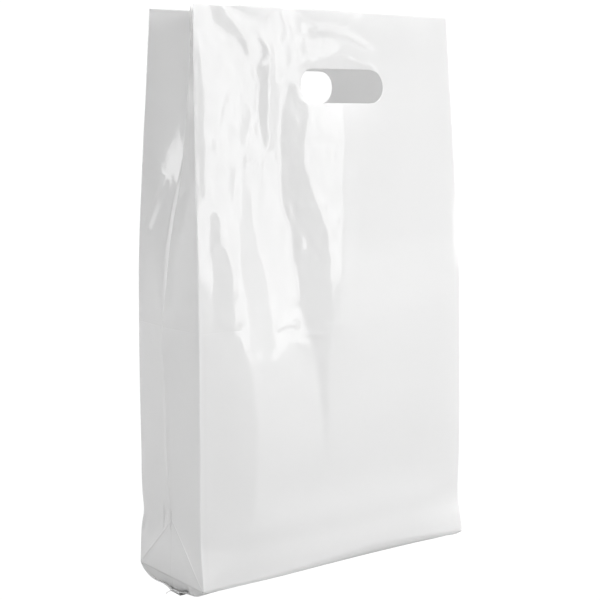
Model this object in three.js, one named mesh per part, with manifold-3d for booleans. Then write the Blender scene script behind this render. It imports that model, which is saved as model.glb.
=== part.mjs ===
// A gusseted plastic carrier bag, opened out and standing on its base, as one folded and welded
// piece of film. Units are millimetres and +Z is up. The origin is on the surface that the base
// rests on, under the middle of the bag; the front panel faces -Y and the back panel faces +Y.
//
// The film is a flat tube with a pleat, the gusset, pressed into each side. Opened out it is a box
// with four long creases up its corners. The gussets are flat near the base and fold inwards
// towards the mouth. The foot of the tube is turned under the bag as two strips that meet at a
// weld across the base, and each gusset is tucked in above the ends of those strips. The skirt
// of film below the weld lies folded forwards under the base. A hand hole is punched through
// the front and back panels.
//
// Every wall is as thick as WALL, which stands for a much thinner film, so that it is a real
// solid that can be cut, weighed and touched.

import * as THREE from 'three';
import Module from 'manifold-3d';
import { mergeVertices } from 'three/addons/utils/BufferGeometryUtils.js';

// Driving dimensions

const WALL = 0.6;                 // modelled thickness of the film
const CREASE_HEIGHT = 12;         // how far the bottom creases stand above the resting surface
const PANEL_HEIGHT = 450;         // from the bottom creases up to the mouth
const BASE_HALF_WIDTH = 136.5;    // along X, at the bottom creases
const BASE_HALF_DEPTH = 48;       // along Y, at the bottom creases
const MOUTH_DIP = 2.5;            // how far the edge of the mouth drops at the gusset folds

const HAND_HOLE = { x: 10, above: 390, halfLength: 42.2, radius: 13.8 };

// Sections of the bag by their height above the bottom creases: the half width, where the front
// and back panels are, and how far the middle of each gusset is folded in. A negative fold
// bulges outwards.
const SECTIONS = [
  { above: 0, halfWidth: BASE_HALF_WIDTH, front: -BASE_HALF_DEPTH, back: BASE_HALF_DEPTH, fold: 0 },
  { above: 16, halfWidth: 136, front: -46, back: 47.5, fold: 0.8 },
  { above: 44, halfWidth: 136, front: -43, back: 43.5, fold: 2 },
  { above: 100, halfWidth: 136, front: -43.5, back: 45.5, fold: -0.8 },
  { above: 200, halfWidth: 135, front: -42.5, back: 47.5, fold: -3 },
  { above: 250, halfWidth: 134.5, front: -41, back: 47, fold: 2.8 },
  { above: 350, halfWidth: 132.2, front: -34.5, back: 41, fold: 14 },
  { above: 400, halfWidth: 130.5, front: -31, back: 38, fold: 17.8 },
  { above: PANEL_HEIGHT, halfWidth: 128.7, front: -28, back: 35.5, fold: 18.4 },
];

// The two creases that run from the bottom corners of a gusset up to a point on its middle line.
const TUCK_APEX = 47;             // height of that point above the bottom creases
const TUCK_START = 2;             // distance of the creases from the corner at their foot

// The turned-under strips, seen from the end: Y, and Z above the resting surface. The front strip
// slopes down to the folded skirt, which lifts it by the depth of the fold. Behind the weld the
// back strip lies on the surface and turns up more steeply to its crease.
const SKIRT = { front: -13, weld: 1.5, gap: 0.6 };
const SKIRT_LIFT = WALL + SKIRT.gap;
const BASE_SECTION = [
  [-BASE_HALF_DEPTH, CREASE_HEIGHT],
  [-46.4, 10.8],
  [-42, 9.8],
  [SKIRT.front - 6, SKIRT_LIFT],
  [SKIRT.weld, SKIRT_LIFT],
  [SKIRT.weld + 3, 0],
  [34, 0],
  [41.5, 1.8],
  [46, 6],
  [BASE_HALF_DEPTH, CREASE_HEIGHT],
];

// Each gusset's tuck above the ends of the strips is a flat pyramid of air: two corners near the
// bottom corners, one at the end of the weld, and one this far in along the weld.
const TUCK = { cornerInset: 3, depth: 44, cornerDrop: 0.4, height: 2.2 };

// Geometry helpers

const wasm = await Module();
wasm.setup();

/** A closed BufferGeometry as a manifold solid. */
function toSolid(geometry) {
  const bare = geometry.clone();
  bare.deleteAttribute('normal');
  bare.deleteAttribute('uv');
  const merged = mergeVertices(bare, 1e-4);
  return new wasm.Manifold(new wasm.Mesh({
    numProp: 3,
    vertProperties: new Float32Array(merged.attributes.position.array),
    triVerts: new Uint32Array(merged.index.array),
  }));
}

/** A manifold solid as a BufferGeometry. */
function toGeometry(solid) {
  const mesh = solid.getMesh();
  const geometry = new THREE.BufferGeometry();
  geometry.setAttribute('position', new THREE.BufferAttribute(mesh.vertProperties, 3));
  geometry.setIndex(new THREE.BufferAttribute(mesh.triVerts, 1));
  geometry.computeVertexNormals();
  return geometry;
}

/** A closed polygon, seen from above, moved inwards by the given distance at every edge. */
function insetRing(ring, distance) {
  return ring.map((point, i) => {
    const before = ring[(i + ring.length - 1) % ring.length];
    const after = ring[(i + 1) % ring.length];
    const into = inwardNormal(before, point);
    const out = inwardNormal(point, after);
    const mitre = into.clone().add(out);
    mitre.multiplyScalar(distance / (1 + into.dot(out)));
    return new THREE.Vector3(point.x + mitre.x, point.y + mitre.y, point.z);
  });
}

/** The unit normal on the left of an edge, which is the inside of a counterclockwise ring. */
function inwardNormal(from, to) {
  return new THREE.Vector2(from.y - to.y, to.x - from.x).normalize();
}

/** A closed solid skin over a stack of rings with equal numbers of points, lowest ring first. */
function loft(rings) {
  const count = rings[0].length;
  const positions = rings.flat().flatMap((point) => [point.x, point.y, point.z]);
  const indices = [];
  for (let level = 0; level + 1 < rings.length; level += 1) {
    for (let i = 0; i < count; i += 1) {
      const a = level * count + i;
      const b = level * count + ((i + 1) % count);
      indices.push(a, b, b + count, a, b + count, a + count);
    }
  }
  const capOutline = (ring) => ring.map((point) => new THREE.Vector2(point.x, point.y));
  const top = (rings.length - 1) * count;
  for (const [a, b, c] of THREE.ShapeUtils.triangulateShape(capOutline(rings[0]), [])) {
    indices.push(a, c, b);
  }
  for (const [a, b, c] of THREE.ShapeUtils.triangulateShape(capOutline(rings.at(-1)), [])) {
    indices.push(top + a, top + b, top + c);
  }
  const geometry = new THREE.BufferGeometry();
  geometry.setAttribute('position', new THREE.Float32BufferAttribute(positions, 3));
  geometry.setIndex(indices);
  return geometry;
}

/** A shape drawn in Y and Z, extruded along X over the given half width on both sides. */
function extrudeAcross(outline, halfWidth) {
  const shape = new THREE.Shape(outline.map(([y, z]) => new THREE.Vector2(y, z)));
  const geometry = new THREE.ExtrudeGeometry(shape, { depth: 2 * halfWidth, bevelEnabled: false });
  geometry.applyMatrix4(new THREE.Matrix4().makeBasis(
    new THREE.Vector3(0, 1, 0),
    new THREE.Vector3(0, 0, 1),
    new THREE.Vector3(1, 0, 0),
  ));
  return geometry.translate(-halfWidth, 0, 0);
}

// The walls of the bag

/** The ten-sided ring of one section: two panels, and two gussets of four strips each. */
function sectionRing({ above, halfWidth, front, back, fold }) {
  const middle = (front + back) / 2;
  const z = CREASE_HEIGHT + above;
  const foldZ = above === PANEL_HEIGHT ? z - MOUTH_DIP : z;
  const leg = above < TUCK_APEX
    ? Math.max(0, 1 - above / TUCK_APEX) * (BASE_HALF_DEPTH - TUCK_START)
    : (back - front) / 4;
  const share = above < TUCK_APEX ? 0 : 0.5;
  const legX = halfWidth - fold * share;
  const legZ = z + (foldZ - z) * share;
  return [
    new THREE.Vector3(-halfWidth, front, z),
    new THREE.Vector3(halfWidth, front, z),
    new THREE.Vector3(legX, middle - leg, legZ),
    new THREE.Vector3(halfWidth - fold, middle, foldZ),
    new THREE.Vector3(legX, middle + leg, legZ),
    new THREE.Vector3(halfWidth, back, z),
    new THREE.Vector3(-halfWidth, back, z),
    new THREE.Vector3(-legX, middle + leg, legZ),
    new THREE.Vector3(-halfWidth + fold, middle, foldZ),
    new THREE.Vector3(-legX, middle - leg, legZ),
  ];
}

/** The space that the opened tube takes up: its outside, or its hollow when inset by the wall. */
function tubeForm(inset) {
  const rings = SECTIONS.map(sectionRing).map((ring) => insetRing(ring, inset));
  if (inset > 0) {
    const above = rings.at(-1).map((point) => point.clone().setZ(point.z + 4 * MOUTH_DIP));
    rings.push(above);
  }
  return toSolid(loft(rings));
}

/** The shallow pan of the base, below the bottom creases: its outside, or its hollow. */
function baseForm(inset) {
  const scale = (BASE_HALF_DEPTH - inset) / BASE_HALF_DEPTH;
  const outline = BASE_SECTION.map(([y, z]) => [y * scale, Math.min(z + inset, CREASE_HEIGHT)]);
  return toSolid(extrudeAcross(outline, BASE_HALF_WIDTH - inset));
}

/** The air in one gusset tuck. side is -1 or 1; grow moves every face out by that much. */
function tuckForm(side, grow) {
  const outer = BASE_HALF_WIDTH + 1;
  const corners = [
    new THREE.Vector3(side * outer, -BASE_HALF_DEPTH + TUCK.cornerInset, CREASE_HEIGHT - TUCK.cornerDrop),
    new THREE.Vector3(side * outer, BASE_HALF_DEPTH - TUCK.cornerInset, CREASE_HEIGHT - TUCK.cornerDrop),
    new THREE.Vector3(side * outer, 0, TUCK.height),
    new THREE.Vector3(side * (outer - TUCK.depth), 0, TUCK.height + WALL),
  ];
  const faces = side < 0
    ? [[0, 1, 2], [1, 0, 3], [2, 1, 3], [0, 2, 3]]
    : [[0, 2, 1], [0, 1, 3], [1, 2, 3], [2, 0, 3]];
  const areas = faces.map((face) => new THREE.Triangle(...face.map((i) => corners[i])).getArea());
  const total = areas.reduce((sum, area) => sum + area, 0);
  const opposite = [3, 2, 0, 1];
  const centre = new THREE.Vector3();
  areas.forEach((area, i) => centre.addScaledVector(corners[opposite[i]], area / total));
  const wall = new THREE.Triangle(...faces[1].map((i) => corners[i]));
  const radius = Math.abs(wall.getPlane(new THREE.Plane()).distanceToPoint(centre));
  const grown = corners.map((corner) => corner.clone().sub(centre)
    .multiplyScalar(1 + grow / radius).add(centre));
  const geometry = new THREE.BufferGeometry().setFromPoints(grown);
  geometry.setIndex(faces.flat());
  return toSolid(geometry);
}

/** The weld and the skirt of film that lies folded forwards under the base. */
function skirtForm() {
  const { front, weld } = SKIRT;
  const outline = [
    [front, 0],
    [weld, 0],
    [weld, SKIRT_LIFT + WALL / 2],
    [weld - 2 * WALL, SKIRT_LIFT + WALL / 2],
    [weld - 2 * WALL, WALL],
    [front, WALL],
  ];
  return toSolid(extrudeAcross(outline, BASE_HALF_WIDTH - 1));
}

/** The cutter that punches both hand holes: a slot with round ends, from front to back. */
function handHoleCutter() {
  const { x, above, halfLength, radius } = HAND_HOLE;
  const straight = halfLength - radius;
  const slot = new THREE.Shape();
  slot.absarc(straight, 0, radius, -Math.PI / 2, Math.PI / 2, false);
  slot.absarc(-straight, 0, radius, Math.PI / 2, 3 * Math.PI / 2, false);
  const depth = 3 * BASE_HALF_DEPTH;
  const geometry = new THREE.ExtrudeGeometry(slot, { depth, bevelEnabled: false, curveSegments: 12 });
  geometry.translate(0, 0, -depth / 2);
  geometry.rotateX(Math.PI / 2);
  return toSolid(geometry.translate(x, 0, CREASE_HEIGHT + above));
}

/** The whole bag as one solid skin of film. */
function bagSolid() {
  const outside = tubeForm(0).add(baseForm(0));
  let hollow = tubeForm(WALL).add(baseForm(WALL));
  for (const side of [-1, 1]) {
    hollow = hollow.subtract(tuckForm(side, WALL));
  }
  let bag = outside.subtract(hollow).add(skirtForm());
  for (const side of [-1, 1]) {
    bag = bag.subtract(tuckForm(side, 0));
  }
  return bag.subtract(handHoleCutter());
}

// The model

const film = new THREE.MeshStandardMaterial({
  name: 'white_film',
  color: 0xf0f0f0,
  roughness: 0.28,
  metalness: 0,
});

const bag = new THREE.Mesh(toGeometry(bagSolid()), film);
bag.name = 'bag_film';

const carrierBag = new THREE.Group();
carrierBag.add(bag);

export default carrierBag;
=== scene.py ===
# %% [markdown]
# # A white plastic carrier bag
# The bag is one tube of thin white film. A pleat, the gusset, is pressed into each side, the foot
# is turned under and welded, and a hand hole is punched through both panels. It stands opened
# out, so it looks like a box of thin shiny walls. Film could be modelled with a cloth simulation,
# but a carrier bag keeps the creases that it was packed with, and those are easier to place one
# by one. So this lesson draws the walls as smooth surfaces, adds each crease where it belongs, and
# then looks after the shine, because on glossy film the shine is what shows the shape.

# %% Load the fixed frame
import math
import bmesh
import bpy
import numpy as np
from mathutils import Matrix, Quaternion, Vector


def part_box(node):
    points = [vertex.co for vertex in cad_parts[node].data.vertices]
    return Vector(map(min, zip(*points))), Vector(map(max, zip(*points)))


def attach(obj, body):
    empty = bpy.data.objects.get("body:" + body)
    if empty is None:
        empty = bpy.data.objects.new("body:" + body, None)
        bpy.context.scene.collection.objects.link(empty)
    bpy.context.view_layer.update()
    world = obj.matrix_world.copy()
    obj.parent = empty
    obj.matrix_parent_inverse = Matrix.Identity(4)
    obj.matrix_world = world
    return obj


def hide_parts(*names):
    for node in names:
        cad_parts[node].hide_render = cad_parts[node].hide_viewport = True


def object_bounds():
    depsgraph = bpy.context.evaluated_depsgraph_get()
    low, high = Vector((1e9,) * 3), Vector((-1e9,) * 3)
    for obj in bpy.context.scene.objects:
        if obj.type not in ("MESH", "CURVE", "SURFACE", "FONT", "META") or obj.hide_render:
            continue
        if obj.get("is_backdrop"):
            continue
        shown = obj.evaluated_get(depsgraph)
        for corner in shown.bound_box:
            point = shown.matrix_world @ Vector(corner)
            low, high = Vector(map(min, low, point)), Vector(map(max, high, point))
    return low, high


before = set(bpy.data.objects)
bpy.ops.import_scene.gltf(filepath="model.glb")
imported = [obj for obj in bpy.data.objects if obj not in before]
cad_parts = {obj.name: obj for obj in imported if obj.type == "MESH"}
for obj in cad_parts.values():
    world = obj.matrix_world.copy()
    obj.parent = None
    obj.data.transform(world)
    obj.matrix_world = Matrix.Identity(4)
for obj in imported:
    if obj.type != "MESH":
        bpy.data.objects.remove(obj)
scene = bpy.context.scene
cad_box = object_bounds()
low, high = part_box("bag_film")
print("the packed bag is", [round(1000 * side, 1) for side in high - low], "mm")

# %% [markdown]
# ## Driving sizes
# All shape work below is in millimetres and turned into metres at the end. The overall sizes
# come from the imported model. The rest of the bag is described by how far things are above the
# bottom creases, the four sharp edges where the walls turn under to become the base.

# %% Driving sizes
MM = 0.001
GUSSET_BULGE = 1.5       # how far a gusset may swell past the edges of the panels
HALF_WIDTH = high.x / MM - GUSSET_BULGE
HALF_DEPTH = high.y / MM
CREASE_HEIGHT = 12.0     # from the table up to the bottom creases
PANEL_HEIGHT = high.z / MM - CREASE_HEIGHT
MIDDLE_CREASE = 203.0    # where the bag was once folded in half
FILM = 0.25              # modelled thickness
MOUTH_DIP = 2.6          # the fold of a gusset ends this far below the corners of the mouth
HOLE_X = 10.0            # the hand hole is punched a little off centre
HOLE_ABOVE = 390.0
HOLE_HALF_LENGTH = 42.2
HOLE_RADIUS = 13.8
WELD_Y = 1.5
print("walls are", round(PANEL_HEIGHT, 1), "mm tall above the bottom creases")

# %% [markdown]
# ## The camera
# The camera stands to the left of the front panel and a little above the middle of the bag. A
# long lens from over a metre away keeps the upright edges almost parallel, as in a catalogue.

# %% Camera
VIEW_AZIMUTH = math.radians(-36.9)
VIEW_ELEVATION = math.radians(7.58)
VIEW_DISTANCE = 1165.1
AIM_MIDDLE = Vector((0.0, 2.0, 237.0))
AIM_RIGHT = -4.85
AIM_UP = -12.09
FOCAL_LENGTH = 83.28
SENSOR_WIDTH = 36.0

back = Vector((math.sin(VIEW_AZIMUTH) * math.cos(VIEW_ELEVATION),
               -math.cos(VIEW_AZIMUTH) * math.cos(VIEW_ELEVATION),
               math.sin(VIEW_ELEVATION)))
right = Vector((math.cos(VIEW_AZIMUTH), math.sin(VIEW_AZIMUTH), 0.0))
up = back.cross(right)
aim = AIM_MIDDLE + AIM_RIGHT * right + AIM_UP * up


def add_object(name, data):
    """Puts a new object into the scene."""
    made = bpy.data.objects.new(name, data)
    scene.collection.objects.link(made)
    return made


lens = bpy.data.cameras.new("catalogue_lens")
lens.lens = FOCAL_LENGTH
lens.sensor_width = SENSOR_WIDTH
camera = add_object("camera", lens)
camera.location = (aim + back * VIEW_DISTANCE) * MM
camera.rotation_mode = "QUATERNION"
camera.rotation_quaternion = (-back).to_track_quat("-Z", "Y")
bpy.context.scene.camera = camera
print("camera at", [round(c, 3) for c in camera.location], "m")

# %% [markdown]
# ## The outline of the walls
# Held up to the light, the bag isn't a true box. It is widest at the foot, pinched a little above
# it, full in the lower half, and narrower at the mouth, where the gussets fold inwards. A smooth
# curve through a few measured places gives each of these outlines at any height.

# %% A smooth curve through a few places
def curve_through(points):
    """A smooth curve through (place, value) points, as a function of the place."""
    place, value = np.array(points, float).T
    slope = np.gradient(value, place)

    def along(at):
        at = np.clip(at, place[0], place[-1])
        i = np.clip(np.searchsorted(place, at) - 1, 0, len(place) - 2)
        step = place[i + 1] - place[i]
        s = (at - place[i]) / step
        start = (1 + 2 * s) * (1 - s) ** 2 * value[i] + s * (1 - s) ** 2 * step * slope[i]
        end = s * s * (3 - 2 * s) * value[i + 1] - s * s * (1 - s) * step * slope[i + 1]
        return start + end

    return along


def smooth(start, end, at):
    """0 before start, 1 after end, and an even S between them."""
    s = np.clip((at - start) / (end - start), 0, 1)
    return s * s * (3 - 2 * s)


print("a quarter of the way along, the S has risen to", smooth(0, 4, 1))

# %% Outlines of the walls
half_width = curve_through([
    (0, HALF_WIDTH), (15, 136.3), (30, 135.8), (45, 135.9), (60, 136.2), (100, 136.0),
    (150, 135.5), (200, 135.0), (250, 134.5), (300, 133.7), (350, 132.2), (400, 130.5),
    (PANEL_HEIGHT, 128.7)])
front_y = curve_through([
    (0, -HALF_DEPTH), (15, -46.0), (30, -43.4), (45, -43.0), (60, -43.2), (100, -43.6),
    (150, -43.1), (200, -42.4), (250, -40.8), (300, -37.8), (350, -34.5), (400, -31.0),
    (PANEL_HEIGHT, -27.8)])
UPPER_BACK = [(200, 47.7), (250, 47.3), (300, 44.4), (350, 41.2), (400, 38.1), (PANEL_HEIGHT, 35.5)]
back_y = curve_through([
    (0, HALF_DEPTH), (15, 47.9), (32, 47.0), (45, 43.0), (60, 44.3), (100, 45.4), (150, 47.1),
    *UPPER_BACK])
back_middle_y = curve_through([(0, HALF_DEPTH), (60, 46.8), (150, 47.2), *UPPER_BACK])
fold_in = curve_through([
    (0, 0), (47, 1.2), (100, -0.6), (150, -1.5), (200, -3.0), (250, 2.8), (300, 8.6),
    (350, 14.1), (400, 17.9), (PANEL_HEIGHT, 18.4)])
print("mouth is", round(2 * float(half_width(PANEL_HEIGHT)), 1), "mm wide and",
      round(float(back_y(PANEL_HEIGHT) - front_y(PANEL_HEIGHT)), 1), "mm deep at its corners")

# %% [markdown]
# ## Turned bands
# Shiny film shows a fold by where it turns, not by how far it moves: half a millimetre of height
# is nothing to the eye, but a turn of three degrees makes a lamp appear in the film or vanish
# from it. So the folds are drawn as bands that are turned to the left or to the right by a few
# degrees. A film takes the calmest shape that it can, so the height is the smoothest map whose
# slopes across agree with the turns and whose edges stay on their creases. A Fourier transform
# solves that in one go. The map has one point for each millimetre. Ridges, grooves, creases and
# fine crinkles are added to the same map afterwards, and the edges of the bands wander a little,
# because a crumpled fold never has a ruled edge.

# %% The relief map of one wall
RAGGED_SEED = 19
RAGGED_STEP = 6.5        # the edge of a band changes its course after this many millimetres
RAGGED_SIZE = 0.35       # and by up to this share of the band's softness
UPRIGHT_EASE = 0.35      # how much the film minds a change of height on the way up
CREASE_BLUNT = 0.8
LENS_BLUNT = 0.6
FINER = 1.9              # each octave of crinkles is this much finer and lower than the last
LENGTHENED = (1.25, 0.85)
WANDER, WANDER_LENGTH = 0.6, 3.1
FACET_SCALE, FACET_BLUNT = 2.2, 0.05


class Relief:
    """A map of how far one wall stands out, in millimetres. across is in mm, 0 in the middle."""

    def __init__(self, reach):
        self.across = np.arange(-reach, reach + 1.0)
        self.above = np.arange(0.0, PANEL_HEIGHT + 1.0)
        self.x, self.t = np.meshgrid(self.across, self.above)
        self.turn = np.zeros_like(self.x)
        self.height = np.zeros_like(self.x)
        self.chance = np.random.default_rng(RAGGED_SEED)

    def ragged(self, size):
        """An uneven offset for an edge, which changes every few millimetres up the wall."""
        places = np.arange(0, PANEL_HEIGHT + RAGGED_STEP, RAGGED_STEP)
        offsets = self.chance.uniform(-size, size, len(places))
        return np.interp(self.above, places, offsets)[:, None]

    def band(self, degrees, soft, fade, rows):
        """Turns a band. rows give its height, left edge and right edge, lowest row first."""
        fade_low, fade_high = fade if isinstance(fade, tuple) else (fade, fade)
        above, left, right_edge = np.array(rows, float).T
        start = np.interp(self.above, above, left)[:, None] + self.ragged(RAGGED_SIZE * soft)
        end = np.interp(self.above, above, right_edge)[:, None] + self.ragged(RAGGED_SIZE * soft)
        inside = smooth(start - soft / 2, start + soft / 2, self.x)
        inside = inside * (1 - smooth(end - soft / 2, end + soft / 2, self.x))
        ends = smooth(above[0] - fade_low, above[0], self.t)
        ends = ends * (1 - smooth(above[-1], above[-1] + fade_high, self.t))
        self.turn += degrees * inside * ends

    def fold(self, bands):
        """Turns all the bands of a list, and lets the map take its calmest shape."""
        for degrees, soft, fade, rows in bands:
            self.band(degrees, soft, fade, rows)
        self.add_up_turns()

    def add_up_turns(self):
        """The calmest height map whose slopes across agree with the turns. Edges stay at 0."""
        wanted = np.gradient(-np.tan(np.radians(self.turn)), axis=1)
        tall = np.concatenate([wanted, wanted[::-1]], axis=0)
        whole = np.concatenate([tall, -tall[:, ::-1]], axis=1)
        along_x = 2 * math.pi * np.fft.fftfreq(whole.shape[1])
        along_t = 2 * math.pi * np.fft.fftfreq(whole.shape[0])
        stiffness = along_x[None, :] ** 2 + UPRIGHT_EASE * along_t[:, None] ** 2
        stiffness[0, 0] = 1.0
        solved = np.real(np.fft.ifft2(np.fft.fft2(whole) / -stiffness))
        self.height += solved[:len(self.above), :len(self.across)]

    def ridge(self, size, width, line, tail=0.35):
        """Raises a ridge, or presses a groove if size is negative, along a line of points."""
        line = np.array(line, float)
        best = np.full(self.x.shape, 1e9)
        where = np.zeros_like(self.x)
        lengths = np.linalg.norm(np.diff(line, axis=0), axis=1)
        starts = np.concatenate([[0], np.cumsum(lengths)])
        for (ax, at), (bx, bt), length, start in zip(line[:-1], line[1:], lengths, starts):
            s = ((self.x - ax) * (bx - ax) + (self.t - at) * (bt - at)) / length ** 2
            s = np.clip(s, 0, 1)
            away = np.hypot(self.x - ax - s * (bx - ax), self.t - at - s * (bt - at))
            where = np.where(away < best, (start + s * length) / starts[-1], where)
            best = np.minimum(best, away)
        ends = smooth(0, tail, where) * smooth(0, tail, 1 - where)
        self.height += size * np.exp(-(best / width) ** 2) * ends

    def downward_lens(self, degrees, middle, half_length, level, swell):
        """Leans the film down between a level edge and an arc that swells away from it."""
        room = np.abs(swell) * np.clip(1 - ((self.x - middle) / half_length) ** 2, 0, 1)
        side = -1 if swell > 0 else 1
        into = side * (self.t - level) + room
        into = (into + np.sqrt(into * into + LENS_BLUNT)) / 2
        depth = np.minimum(into, room) * smooth(level - 30, level - 12, self.t)
        self.height += side * math.tan(math.radians(degrees)) * depth

    def crease(self, size, width, line_t, mask):
        """A sharp fold across the wall at one height: a soft-pointed ridge or groove."""
        away = np.sqrt((self.t - line_t) ** 2 + CREASE_BLUNT ** 2)
        self.height += size * np.exp(-away / width) * mask

    def crinkle(self, seed, size, longest, mask):
        """Seeded fine crinkles: waves in many directions, pressed into flat facets."""
        rng = np.random.default_rng(seed)
        total = np.zeros_like(self.x)
        squeeze, stretch = LENGTHENED
        for octave in range(3):
            for _ in range(5):
                angle = rng.uniform(0, math.pi)
                wave = longest / FINER ** octave * rng.uniform(0.8, 1.25)
                phase = rng.uniform(0, 2 * math.pi)
                run = self.x * math.cos(angle) * squeeze + self.t * math.sin(angle) * stretch
                sway = 2 * math.pi * (self.t - self.x) / (WANDER_LENGTH * wave) + phase
                bent_run = 2 * math.pi * run / wave + phase + WANDER * np.sin(sway)
                total += np.sin(bent_run) / FINER ** octave
        facets = np.sqrt((total / FACET_SCALE) ** 2 + FACET_BLUNT)
        self.height += size * (facets - facets.mean()) * mask

    def at(self, x, t):
        """The height of the wall at the given places, read from the map."""
        col = np.clip(x - self.across[0], 0, len(self.across) - 1.001)
        row = np.clip(t, 0, len(self.above) - 1.001)
        c, r = col.astype(int), row.astype(int)
        u, v = col - c, row - r
        h = self.height
        lower = h[r, c] * (1 - u) + h[r, c + 1] * u
        upper = h[r + 1, c] * (1 - u) + h[r + 1, c + 1] * u
        return lower * (1 - v) + upper * v

    def turned(self, x, t):
        """How many degrees the wall is turned to the right at one place."""
        near = self.at(np.array([x - 1.0, x + 1.0]), np.array([t, t]))
        return math.degrees(math.atan((near[0] - near[1]) / 2))


print("a map of the front has", Relief(HALF_WIDTH).height.size, "points")

# %% [markdown]
# ## The front panel
# The left half of the front carries the marks of packing and handling: long upright folds that
# hang from the mouth and the hand hole, a sharp crease across the middle where the bag was once
# folded in half, and a soft dent beside the crease at the lower left. The right half is calm.
# Each fold is a row of the list: its turn in degrees, how soft its edges are, how slowly its ends
# fade, and then its height, left edge and right edge, from its lower end to its upper end.

# %% Folds of the front panel
front_relief = Relief(HALF_WIDTH)
FRONT_BANDS = [
    # beside the left crease, and the soft dent below the middle
    (-6.8, 3, 6, [
        (300, -132, -127), (317, -132, -126), (342, -132, -124), (378, -131, -121),
        (386, -130, -120), (392, -130, -123), (410, -129, -124.5), (438, -128, -125.5)]),
    (-10.0, 4, 10, [
        (4, -136, -134), (13, -136, -122), (29, -136, -108), (54, -136, -90), (84, -136, -88),
        (124, -136, -87), (164, -136, -90), (190, -136, -98)]),
    (-3.0, 12, 20, [(60, -126, -102), (120, -126, -101), (175, -125, -106)]),
    # upper left: blotches under the corner of the mouth
    (-8.0, 3, 4, [
        (411, -84, -80), (418, -88, -80), (424, -94, -83), (429, -104, -85), (436, -111, -90),
        (443, -112, -98), (450, -116, -105)]),
    # the broken streak between the corner and the hand hole
    (-14.0, 2.5, 2, [
        (395, -73, -63), (402, -73.5, -62.5), (410, -69, -61.5), (418, -67.5, -61.5),
        (426, -71, -67)]),
    (8.0, 2, 2, [(395, -62, -59), (404, -60, -57.5), (418, -60, -58)]),
    (-13.0, 2.5, 3, [
        (336, -73, -70), (346, -69.5, -63), (362, -72, -65), (378, -72, -63.5), (391, -70, -61.5)]),
    (8.0, 2, 3, [(338, -67, -64), (350, -61, -58), (362, -63, -61), (380, -62, -59)]),
    (-5.0, 2, 5, [(409, -37, -34), (438, -41.5, -38.5)]),
    # lobes between the mouth and the hand hole
    (-4.0, 3, 2, [(431, -28, -4), (436, -28, 14), (442, -28, 26), (447, -20, 34)]),
    (-4.0, 3, 2, [(407, -34, -24), (413, -30, -2), (419, -22, 9), (425, -10, 5)]),
    # the broad fold below the left end of the hand hole, which runs out in a narrow tongue
    (-11.0, 4, (40, 8), [
        (120, -20, -15), (142, -24, -16), (168, -27, -15), (190, -31, -11), (202, -37, -9),
        (231, -41, -9), (260, -44, -10), (280, -48, -14), (306, -54, -24), (323, -54, -29),
        (345, -54, -32), (373, -49, -24), (388, -46, -20)]),
    (-4.0, 3, 6, [(303, -22, 2), (322, -27, 5.5), (345, -31, 8), (379, -23, 9)]),
    (3.5, 3, 14, [(310, 7, 20), (345, 10, 22), (372, 11, 22)]),
    # below the shoulder: dark, bright, grey and bright folds side by side
    (-6.5, 4, 10, [
        (207, -122, -103), (234, -122.5, -103), (257, -122.5, -105), (280, -123, -110),
        (293, -122, -115)]),
    (4.6, 3.5, (16, 8), [
        (196, -91, -66), (232, -94, -71), (263, -95, -78), (290, -94, -83), (308, -90, -86)]),
    (-2.0, 5, 8, [
        (222, -64, -40), (242, -71, -43), (270, -79, -49), (301, -83, -56), (326, -84, -65)]),
    (-3.0, 3, 10, [(205, -8, -4), (229, -8, -1), (270, -9, 2), (299, -10, 4)]),
    (3.5, 4, 16, [(205, -1, 10), (250, 3, 14), (295, 7, 18)]),
    # the right edge turns away, and one soft upright fold
    (3.0, 8, 60, [(60, 123, 137), (120, 119, 137), (207, 118, 137), (270, 122, 137)]),
    (2.5, 4, 10, [(357, 77, 82), (396, 80, 91), (429, 81, 98), (450, 84, 103)]),
]
front_relief.fold(FRONT_BANDS)
print("broad fold turned by", round(front_relief.turned(-43, 345), 1), "degrees,",
      "dent by", round(front_relief.turned(-110, 120), 1), "degrees")
print("the folds of the front reach", round(float(np.abs(front_relief.height).max()), 1), "mm")

# %% [markdown]
# Ridges and grooves are for marks that are too short for a band. Film that leans down loses the
# light from above and turns grey, and film that leans up gains it, so the scallops under the mouth
# and the lens over the hand hole are places where the film leans down, and the arcs are narrow
# grooves. The sizes are fractions of a millimetre, except where film is really pressed in.

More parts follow.
